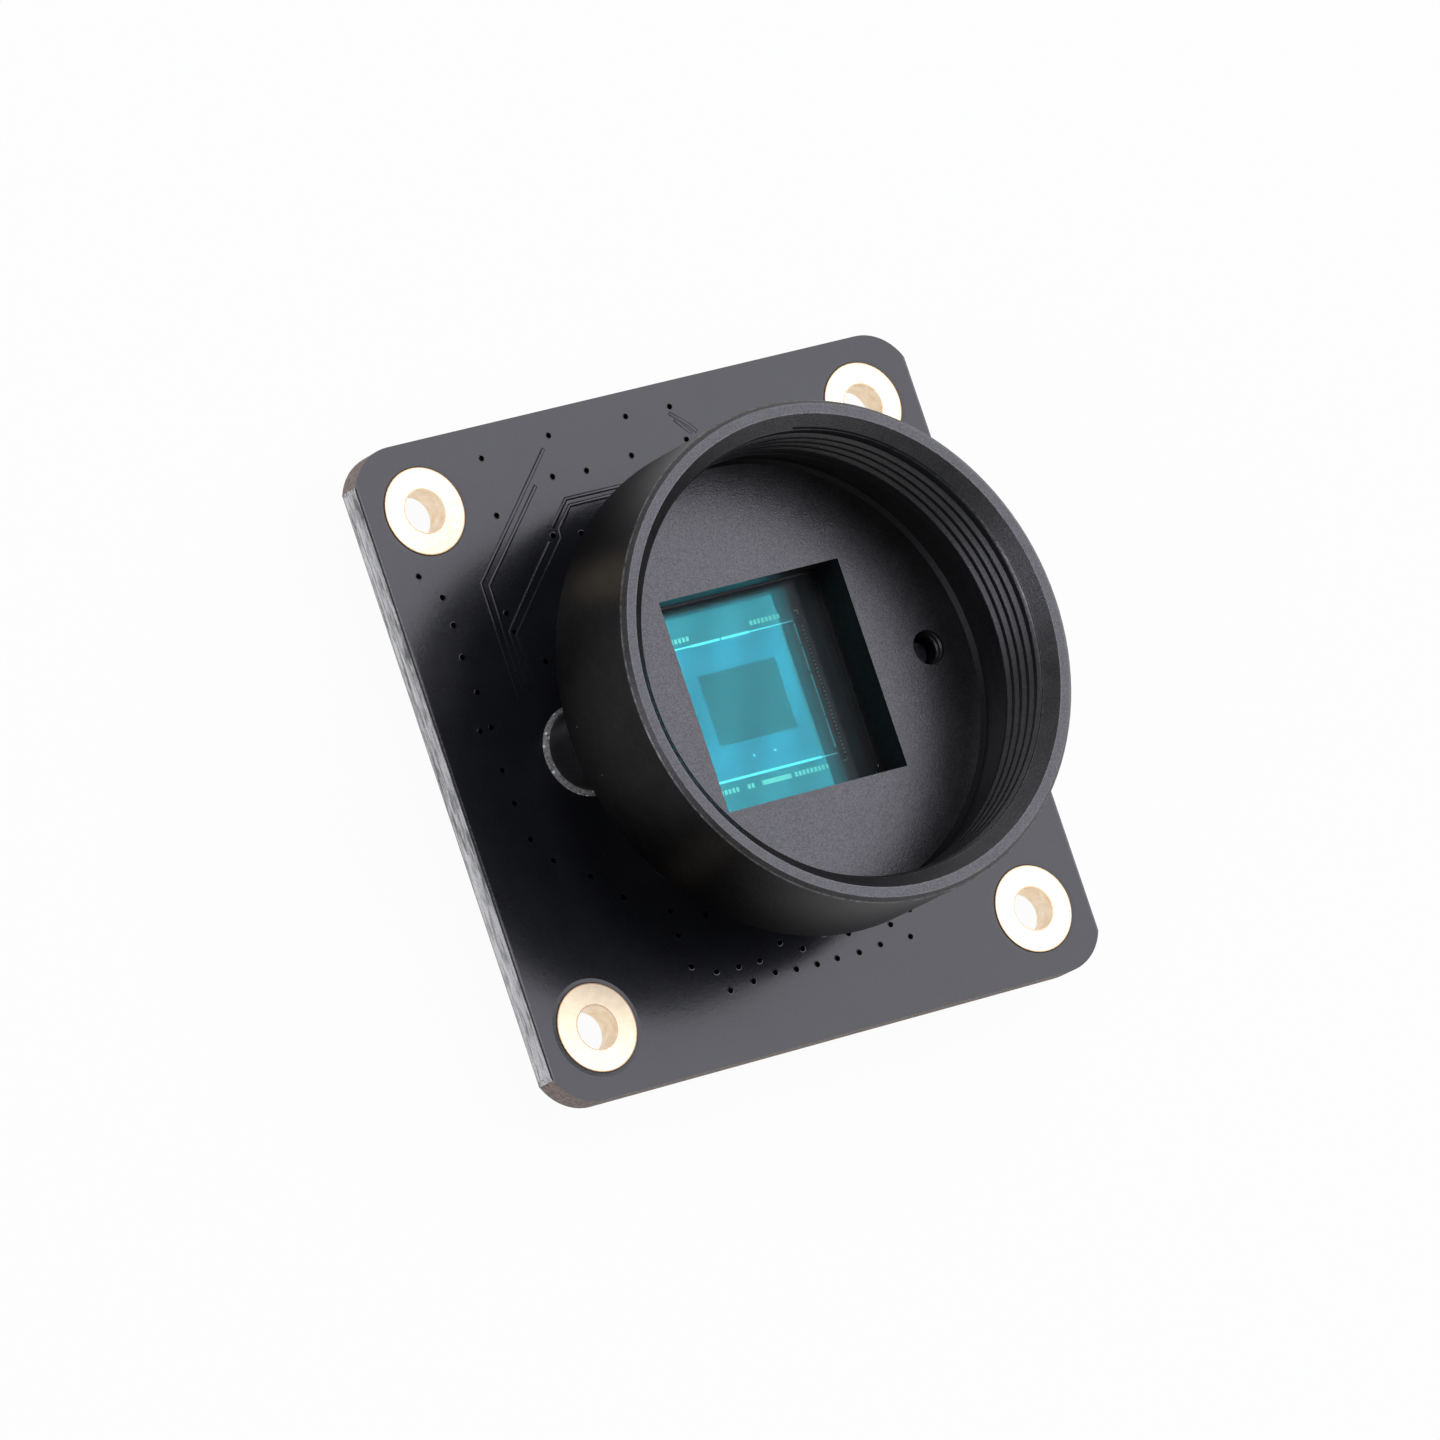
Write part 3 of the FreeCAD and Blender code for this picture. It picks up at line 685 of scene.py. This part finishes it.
# %% [markdown]
# ## The lens thread
#
# The bore of the solid is smooth, at the thread's outer radius. The real one has five turns,
# 32 to the inch, cut back by the lead-in cone at the mouth. The crest is about a fifth of the
# pitch wide, its shoulders are rounded by the blasting, and an eighth of the pitch is left flat
# between two ridges. One ridge is spun with a small lift at each step, which makes the helix.
# Its back lies inside the metal, and its two ends sink into the wall, as a tool's run-out
# leaves them.

# %% A helical ridge in a round hole
flank_angle = math.radians(41)


def thread_ridge(bm, centre_x, wall, pitch, z_start, turns, steps_per_turn, fade, cone=None):
    """One closed ridge. cone is (radius, height) of the mouth of a 45 degree lead-in."""
    flank = pitch * 5 / 16
    root = wall + 0.03 * MM
    crest = wall - flank * math.tan(flank_angle)
    shoulder = crest + flank * 0.2
    section = [(root, 0.0), (shoulder, flank * 0.8), (crest, flank * 1.1),
               (crest, flank * 0.9 + pitch / 4), (shoulder, flank * 1.2 + pitch / 4),
               (root, pitch * 7 / 8)]
    corners = len(section)
    first = [bm.verts.new((centre_x + r, 0.0, z_start + h)) for r, h in section]
    edges = [bm.edges.new((first[i], first[(i + 1) % corners])) for i in range(corners)]
    bm.faces.new(first)
    steps = round(turns * steps_per_turn)
    count_before = len(bm.verts) - corners
    made = bmesh.ops.spin(bm, geom=first + edges, cent=(centre_x, 0, 0), axis=(0, 0, 1),
                          dvec=(0, 0, pitch / steps_per_turn), steps=steps,
                          angle=math.tau * steps / steps_per_turn, use_merge=False,
                          use_duplicate=False)
    last = [v for v in made["geom_last"] if isinstance(v, bmesh.types.BMVert)]
    bmesh.ops.contextual_create(bm, geom=last)
    bm.verts.ensure_lookup_table()
    for index in range(count_before, len(bm.verts)):
        vert = bm.verts[index]
        step = (index - count_before) // corners
        share = min(1.0, step / fade, (steps - step) / fade)
        offset = Vector((vert.co.x - centre_x, vert.co.y))
        radius = root - (root - offset.length) * share
        if cone is not None:
            radius = max(radius, min(root, cone[0] - (cone[1] - vert.co.z)))
        offset = offset.normalized() * radius
        vert.co.x = centre_x + offset.x
        vert.co.y = offset.y


# %% Cut the lens thread
lens_pitch = 25.4 / 32 * MM
bm = bmesh.new()
thread_ridge(bm, 0.0, thread_radius, lens_pitch, bore_low_z + 0.02 * MM,
             (rim_z - bore_low_z) / lens_pitch - 1.6, 160, 50, cone=(lead_in_radius, rim_z))
finish_piece("lens_thread", bm, mount_finish, sharp_over=70)

# %% Tap the two screw holes
tap_pitch = 0.4 * MM
free_length = floor_z - screws_top
bm = bmesh.new()
for side in (-1, 1):
    thread_ridge(bm, side * screw_x, tapped_radius, tap_pitch, screws_top + 0.03 * MM,
                 free_length / tap_pitch - 1.0, 32, 6)
finish_piece("tapped_threads", bm, mount_finish, sharp_over=70)

# %% [markdown]
# ## Copper traces under the lacquer
#
# Traces show as low ridges, because the lacquer is thin. A flat strip follows each path, and
# an inset with a depth raises its middle, which gives the sloping sides that catch the light.

# %% A raised strip along a path
def raised_strip(bm, points, width, height, z):
    """A low ridge with sloping sides, mitred at the corners of its path."""
    path = [Vector((x * MM, y * MM, z)) for x, y in points]
    pairs = []
    for i, point in enumerate(path):
        before = (point - path[i - 1]) if i else (path[1] - point)
        after = (path[i + 1] - point) if i + 1 < len(path) else before
        along = (before.normalized() + after.normalized()).normalized()
        reach = width / 2 / max(0.5, along.dot(before.normalized()))
        side = Vector((-along.y, along.x, 0.0)) * reach
        pairs.append((bm.verts.new(point + side), bm.verts.new(point - side)))
    faces = [bm.faces.new((a[0], b[0], b[1], a[1])) for a, b in zip(pairs, pairs[1:])]
    bmesh.ops.recalc_face_normals(bm, faces=faces)
    if faces[0].normal.z < 0:
        bmesh.ops.reverse_faces(bm, faces=faces)
    bmesh.ops.inset_region(bm, faces=faces, thickness=width * 0.3, depth=height,
                           use_even_offset=True, use_boundary=True)


# %% Traces on the front
front_traces = [
    [(-6.28, 16.86), (-12.99, 10.36), (-12.97, 3.6)],
    [(-7.55, 14.95), (-12.51, 10.14), (-12.57, 3.9)],
    [(-2.03, 13.79), (-5.96, 13.82), (-7.4, 12.42)],
    [(-7.85, 11.72), (-12.17, 7.4), (-12.17, 4.1)],
    [(-2.79, 13.41), (-5.85, 13.41), (-7.0, 12.27), (-7.02, 11.75), (-11.79, 7.1),
     (-11.79, 4.3)],
    [(2.37, 17.15), (3.42, 16.25), (3.78, 15.75)],
    [(2.58, 16.74), (2.95, 16.29), (3.42, 15.77)],
]
trace_width = 0.24 * MM
trace_height = 0.026 * MM
bm = bmesh.new()
for points in front_traces:
    raised_strip(bm, points, trace_width, trace_height, board_front + off_face)
finish_piece("raised_traces", bm, board_finish, sharp_over=20)

# %% [markdown]
# ## Traces on the back
#
# On the back a trace leaves each contact of the connector that has room behind it, and others
# fan out from the four sides of the control chip. Each ends in a via. Their places follow from
# the spacing of the contacts and of the chip's lands, so they are worked out, not listed.

# %% Fan-out on the back
contact_pitch = 1.0
land_pitch = 0.5
tail_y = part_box("connector_contacts")[1].y / MM
chip_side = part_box("control_chip")[1].x / MM
back_traces = []
back_vias = []
for i in range(-7, 8):
    x_start = i * contact_pitch
    x_end = 0.8 * x_start
    if -6.3 < x_end < -2.4:
        continue
    y_end = tail_y + (2.3 if i % 2 else 2.7)
    back_traces.append([(x_start, tail_y + 0.1), (x_start, tail_y + 0.7),
                        (x_end, tail_y + 0.7 + abs(x_start - x_end)), (x_end, y_end)])
    back_vias.append((x_end, y_end + 0.25))
for i in range(-3, 4):
    near, far = i * land_pitch, i * 0.85
    start, bend, end = chip_side + 0.1, chip_side + 0.4, chip_side + 1.4
    for sign in (-1, 1):
        back_traces.append([(sign * start, near), (sign * bend, near), (sign * end, far)])
        back_vias.append((sign * (end + 0.2), far))
        back_traces.append([(near, sign * start), (near, sign * bend), (far, sign * end)])
        back_vias.append((far, sign * (end + 0.2)))
bm = bmesh.new()
for points in back_traces:
    raised_strip(bm, points, trace_width, trace_height, -board_back + off_face)
bmesh.ops.scale(bm, vec=(1, 1, -1), verts=bm.verts)
finish_piece("back_traces", bm, board_finish, sharp_over=20)
print(len(back_traces), "traces and", len(back_vias), "vias on the back")

# %% [markdown]
# ## Via holes
#
# A via is a plated hole of 0.3 mm under the lacquer. It shows as a dark dimple with a faint
# raised ring. Each is a small ring, spun from four points, round a black disc that is painted
# shade for the via's pit.

# %% Places of the vias on the front
front_vias = [
    (-10.37, 17.12), (-5.70, 17.50), (-0.44, 17.53), (2.56, 17.50), (-6.31, 15.21),
    (-4.05, 15.09), (-0.89, 15.32), (2.94, 15.47), (-10.62, 13.83), (-5.69, 11.73),
    (-7.51, 11.99), (-16.71, 11.56), (-15.67, 10.11), (-15.56, 8.46), (-15.67, 6.62),
    (-15.46, 4.54), (-12.04, 8.40), (-11.98, 7.33), (-10.61, 5.28), (-16.08, 2.41),
    (-15.32, 2.47), (-15.53, 0.02), (-15.46, -1.91), (-15.22, -4.06), (-14.23, -5.50),
    (-12.28, -6.87), (-10.67, -8.46), (-8.04, -9.88), (-5.94, -10.59), (-8.04, -11.28),
    (-7.88, -13.12), (-6.43, -13.75), (-4.95, -13.80), (-3.51, -13.78), (-1.87, -13.11),
    (-0.55, -13.77), (1.09, -13.27), (2.67, -13.63), (5.53, -13.76), (7.06, -13.23),
    (6.54, -14.70), (4.46, -14.69), (2.96, -14.81), (1.44, -14.81), (0.05, -14.84),
    (-1.37, -14.80), (-2.76, -14.66), (-4.32, -14.82), (-5.95, -14.97),
]
print(len(front_vias), "vias on the front")


# %% Rings and painted shade discs
def via_ring(bm, x, y, z, hole, ring, facing):
    """A low ring round a via: inner slope, crown and outer slope."""
    crown = z + facing * 0.009 * MM
    section = [(hole, z), (hole + 0.03 * MM, crown), (ring - 0.05 * MM, crown), (ring, z)]
    points = [bm.verts.new((x + r, y, h)) for r, h in section]
    edges = [bm.edges.new(pair) for pair in zip(points, points[1:])]
    bmesh.ops.spin(bm, geom=points + edges, cent=(x, y, 0), axis=(0, 0, 1), steps=14,
                   angle=math.tau, use_merge=True, use_duplicate=False)


def dark_disc(bm, x, y, z, radius):
    """A flat black disc, painted shade for a via's pit."""
    made = bmesh.ops.create_circle(bm, cap_ends=True, segments=14, radius=radius)
    bmesh.ops.translate(bm, verts=made["verts"], vec=(x, y, z))


hole_radius = 0.15 * MM
ring_radius = 0.22 * MM
rings = bmesh.new()
via_shade_discs = bmesh.new()
for vias, face, facing in ((front_vias, board_front, 1), (back_vias, board_back, -1)):
    for x_mm, y_mm in vias:
        via_ring(rings, x_mm * MM, y_mm * MM, face + facing * off_face, hole_radius,
                 ring_radius, facing)
        dark_disc(via_shade_discs, x_mm * MM, y_mm * MM, face + facing * 4 * off_face,
                  hole_radius + 0.01 * MM)
finish_piece("via_rings", rings, board_finish, sharp_over=50)
# Painted shade: a black, dull finish for the discs in the via pits
via_shade_finish = make_plain_finish("painted_via_shade", (0.0005, 0.0005, 0.0005),
                                  (0.0015, 0.0015, 0.0015), 0.8, 0.95)
via_shade_finish.node_tree.nodes["Principled BSDF"].inputs["IOR"].default_value = 1.05
finish_piece("via_painted_shade", via_shade_discs, via_shade_finish)

# %% [markdown]
# ## Solder on the small parts
#
# Each small part is held by solder that has crept up its metal end and left a hollow slope on
# the board. The ends are found in the solids: each is one island of faces. Its slope is a
# strip of three bent faces, closed at the sides, on the face that looks away from the part.

# %% Islands of a solid's faces
def island_boxes(name):
    """The low and high corner of each loose block in a node, in metres."""
    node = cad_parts[name]
    bm = bmesh.new()
    bm.from_mesh(node.data)
    bmesh.ops.transform(bm, matrix=node.matrix_world, verts=bm.verts)
    bmesh.ops.remove_doubles(bm, verts=bm.verts, dist=1e-6)
    boxes = []
    seen = set()
    for start in bm.verts:
        if start in seen:
            continue
        seen.add(start)
        island = [start]
        for vert in island:
            for edge in vert.link_edges:
                other = edge.other_vert(vert)
                if other not in seen:
                    seen.add(other)
                    island.append(other)
        boxes.append((Vector([min(v.co[i] for v in island) for i in range(3)]),
                      Vector([max(v.co[i] for v in island) for i in range(3)])))
    bm.free()
    return boxes


# %% A slope of solder on each end
def solder_slope(bm, low, high, outward):
    """A hollow slope from the end's outer face down to the board's back."""
    axis = 0 if abs(outward.x) > abs(outward.y) else 1
    sign = 1 if outward[axis] > 0 else -1
    face = high[axis] if sign > 0 else low[axis]
    across = 1 - axis
    tall = min(0.7 * (high.z - low.z), 0.6 * MM)
    long = 0.55 * tall + 0.08 * MM
    profile = [(0.0, tall), (0.16, 0.42 * tall), (0.45, 0.14 * tall), (1.0, 0.0), (0.0, 0.0)]
    ends = []
    for value in (low[across], high[across]):
        ring = []
        for out, down in profile:
            point = Vector((0.0, 0.0, board_back - down))
            point[axis] = face + sign * (out * long - 0.01 * MM)
            point[across] = value
            ring.append(bm.verts.new(point))
        ends.append(ring)
        bm.faces.new(ring)
    count = len(profile)
    for i in range(count):
        j = (i + 1) % count
        bm.faces.new((ends[0][i], ends[0][j], ends[1][j], ends[1][i]))


solder = bmesh.new()
slopes = 0
for name in ("capacitor_ends", "resistor_ends", "bead_ends", "reservoir_ends"):
    boxes = island_boxes(name)
    middles = [(low + high) / 2 for low, high in boxes]
    for i, (low, high) in enumerate(boxes):
        partner = min((m for j, m in enumerate(middles) if j != i),
                      key=lambda m: (m - middles[i]).length)
        solder_slope(solder, low, high, middles[i] - partner)
        slopes += 1
finish_piece("solder_slopes", solder, solder_finish, sharp_over=50)
print(slopes, "slopes of solder")

# %% [markdown]
# ## Pads and guard lines on the silicon
#
# Above and below the pixels run rows of bright metal pads, and between them and the pixels a
# bright line of metal. A column of small yellow test pads stands on the right. All are flat
# boxes a few micrometres thick, made with the cube operator. The photograph shows no wire on
# them, so none is drawn.

# %% Flat metal on the die
pad_thickness = 0.004 * MM
line_thickness = 0.003 * MM


def flat_box(bm, left, right, bottom, top, thickness):
    """A thin box lying on the die, in millimetres across."""
    made = bmesh.ops.create_cube(bm, size=1.0)
    size = Vector(((right - left) * MM, (top - bottom) * MM, thickness))
    centre = Vector(((left + right) / 2 * MM, (bottom + top) / 2 * MM, die_top + thickness / 2))
    bmesh.ops.scale(bm, verts=made["verts"], vec=size)
    bmesh.ops.translate(bm, verts=made["verts"], vec=centre)


pad_width = 0.18
pad_height = 0.27
pad_pitch = 0.265
top_row = 4.29
low_row = -4.53
pad_rows = [(-3.76, -2.44, top_row), (1.65, 3.83, top_row), (-3.76, -2.47, low_row),
            (-1.92, -1.42, low_row), (1.31, 3.64, low_row)]
pads = bmesh.new()
for left, right, y_mm in pad_rows:
    count = round((right - left) / pad_pitch)
    for i in range(count):
        x_mm = left + i * pad_pitch
        flat_box(pads, x_mm, x_mm + pad_width, y_mm - pad_height / 2, y_mm + pad_height / 2,
                 pad_thickness)
flat_box(pads, -0.92, 1.06, low_row - pad_height / 2, low_row + pad_height / 2, pad_thickness)
pad_finish = make_metal_finish("pad_metal", (0.90, 0.48, 0.33), (0.98, 0.56, 0.39), 0.29, 0.33,
                               0.2)
finish_piece("bond_pads", pads, pad_finish)

# %% Test pads along the right edge
probes = bmesh.new()
for i in range(34):
    y_mm = 3.40 - i * 0.225
    flat_box(probes, 4.89, 5.0, y_mm - 0.06, y_mm + 0.06, pad_thickness)
for y_mm, tall in ((4.36, -1), (-4.45, 1)):
    flat_box(probes, 4.70, 4.96, y_mm - 0.03, y_mm + 0.03, pad_thickness)
    flat_box(probes, 4.91, 4.96, min(y_mm, y_mm + tall * 0.24), max(y_mm, y_mm + tall * 0.24),
             pad_thickness)
probe_finish = make_metal_finish("probe_metal", (0.95, 0.75, 0.35), (1.0, 0.85, 0.45), 0.29,
                                 0.33, 0.2)
finish_piece("test_pads", probes, probe_finish)

# %% Guard lines
lines = bmesh.new()
guard_runs = [(-3.76, -2.62, 3.80, 3.89), (-2.59, -0.58, 3.76, 3.90), (-0.46, 1.46, 3.76, 3.90),
              (1.50, 4.45, 3.80, 3.87), (-3.76, 3.39, -4.02, -3.88), (3.43, 4.45, -3.99, -3.93)]
for left, right, bottom, top in guard_runs:
    flat_box(lines, left, right, bottom, top, line_thickness)
for bottom, top in ((-3.63, -1.9), (-1.8, 0.7), (0.9, 2.3), (2.45, 3.66)):
    flat_box(lines, 4.42, 4.51, bottom, top, line_thickness)
for x_mm in (-0.85, 0.58):
    flat_box(lines, x_mm - 0.06, x_mm + 0.06, -2.99, -2.87, pad_thickness)
line_finish = make_metal_finish("guard_metal", (0.95, 0.76, 0.68), (1.0, 0.84, 0.76), 0.29,
                                0.33, 0.3)
finish_piece("guard_lines", lines, line_finish)

# %% [markdown]
# ## Dust on the filter
#
# Fine dust lies on the filter and lays a faint grey veil over the dark parts under it. It is a
# sheet just above the glass that is almost clear, with a few denser specks.

# %% Dust film
def make_dust_film():
    material, tree, shader = new_material("dust_film", Roughness=1.0, IOR=1.05,
                                          Base_Color=rgb(0.80, 0.80, 0.82))
    cloud = use_mask(tree, grain, size=1.5, detail=4.0)
    lint = use_mask(tree, dust, spacing=1.3, speck=0.04)
    veil = blend_value(tree, cloud, 0.036, 0.05)
    tree.links.new(blend_value(tree, lint, veil, 0.25), shader.inputs["Alpha"])
    return material


bm = bmesh.new()
bmesh.ops.create_grid(bm, x_segments=1, y_segments=1, size=6.0 * MM)
bmesh.ops.translate(bm, verts=bm.verts, vec=(0, 0, filter_top + 0.004 * MM))
finish_piece("dust_film", bm, make_dust_film())

# %% [markdown]
# ## Floor, light and camera
#
# The stage is a pale floor under the connector, a soft even sky and one large soft lamp. The
# camera looks along the line that the photograph was taken on, from far off with a long lens, so
# the lamp stands where the board and the mount's floor mirror it towards the camera. That mirror
# image is what makes black lacquer look grey. The floor shows white to the camera, to gloss and
# through glass, and keeps a part of the object's shadow. The sky is white there too up to the
# top of a backdrop, and above it the studio is dim. A weak lamp on the left lights the torn
# edge of the board. A small one, high behind the top left corner, makes the gold ring there
# glow in the wall of the tube.

# %% Floor
cad_floor = min(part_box(name)[0].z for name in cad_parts)


def make_floor():
    material, tree, shader = new_material("pale_floor", Roughness=0.7,
                                          Base_Color=rgb(0.86, 0.86, 0.86))
    output = tree.nodes["Material Output"]
    glow = add_node(tree, "ShaderNodeEmission", {"Color": rgb(1.0, 1.0, 1.0), "Strength": 1.0})
    path = add_node(tree, "ShaderNodeLightPath")
    seen = calculate(tree, "MAXIMUM", path.outputs["Is Camera Ray"],
                     calculate(tree, "MAXIMUM", path.outputs["Is Glossy Ray"],
                               path.outputs["Is Transmission Ray"]))
    share = multiply(tree, seen, 0.96)
    mix = add_node(tree, "ShaderNodeMixShader", {0: share, 1: shader.outputs[0],
                                                 2: glow.outputs[0]})
    under = add_node(tree, "ShaderNodeNewGeometry").outputs["Backfacing"]
    clear = add_node(tree, "ShaderNodeBsdfTransparent")
    both = add_node(tree, "ShaderNodeMixShader", {0: under, 1: mix.outputs[0],
                                                  2: clear.outputs[0]})
    tree.links.new(both.outputs[0], output.inputs["Surface"])
    bm = bmesh.new()
    bmesh.ops.create_grid(bm, x_segments=1, y_segments=1, size=1.2)
    bmesh.ops.translate(bm, verts=bm.verts, vec=(0, 0, cad_floor - 0.1 * MM))
    mesh_object("floor", bm, material)


make_floor()
print("floor at", cad_floor)

# %% Sky
world = bpy.data.worlds.new("studio")
bpy.context.scene.world = world
world.use_nodes = True
sky = world.node_tree
sky.nodes.clear()
output = add_node(sky, "ShaderNodeOutputWorld")
path = add_node(sky, "ShaderNodeLightPath")
towards = add_node(sky, "ShaderNodeSeparateXYZ",
                   {0: add_node(sky, "ShaderNodeTexCoord").outputs["Generated"]})
backdrop = calculate(sky, "SUBTRACT", 1.0,
                     multiply(sky, subtract(sky, towards.outputs[2], 0.15), 3.5), clamp=True)
mirrored = calculate(sky, "MAXIMUM", path.outputs["Is Glossy Ray"],
                     path.outputs["Is Transmission Ray"])
level = blend_value(sky, multiply(sky, mirrored, backdrop), 0.2, 1.0)
level = blend_value(sky, path.outputs["Is Camera Ray"], level, 1.0)
background = add_node(sky, "ShaderNodeBackground", {"Color": rgb(1.0, 1.0, 1.0),
                                                    "Strength": level})
sky.links.new(background.outputs[0], output.inputs[0])

# %% Soft lamps
def soft_lamp(name, direction, distance, size, power):
    """A square area lamp that faces the object."""
    data = bpy.data.lights.new(name, "AREA")
    data.size = size
    data.energy = power
    data.color = (0.95, 0.95, 1.05)
    lamp = add_object(name, data)
    towards = Vector(direction).normalized()
    lamp.location = towards * distance
    lamp.rotation_euler = towards.to_track_quat("Z", "Y").to_euler()
    lamp.visible_camera = False


soft_lamp("mirror_lamp", (0.55, 0.04, 0.83), 0.9, 0.75, 4.6)
soft_lamp("left_lamp", (-0.93, -0.1, 0.32), 0.9, 0.6, 1.8)
soft_lamp("ring_lamp", (-0.195, 0.523, 0.83), 0.9, 0.25, 1.5)
print("three lamps set")

# %% Camera
camera_place = Vector((-373.54, -74.28, 562.54)) * MM
camera_aim = Vector((-0.913, -0.272, 1.6)) * MM
camera_roll = math.radians(62.094)
camera_data = bpy.data.cameras.new("camera")
camera_data.sensor_width = 36.0
camera_data.lens = 305.62
camera_data.clip_start = 0.01
camera = add_object("camera", camera_data)
camera.location = camera_place
level_view = (camera_aim - camera_place).to_track_quat("-Z", "Y")
camera.rotation_mode = "QUATERNION"
camera.rotation_quaternion = level_view @ Quaternion((0, 0, 1), camera_roll)
bpy.context.scene.camera = camera
bpy.context.scene.view_settings.view_transform = "Standard"
print("camera", camera.location)
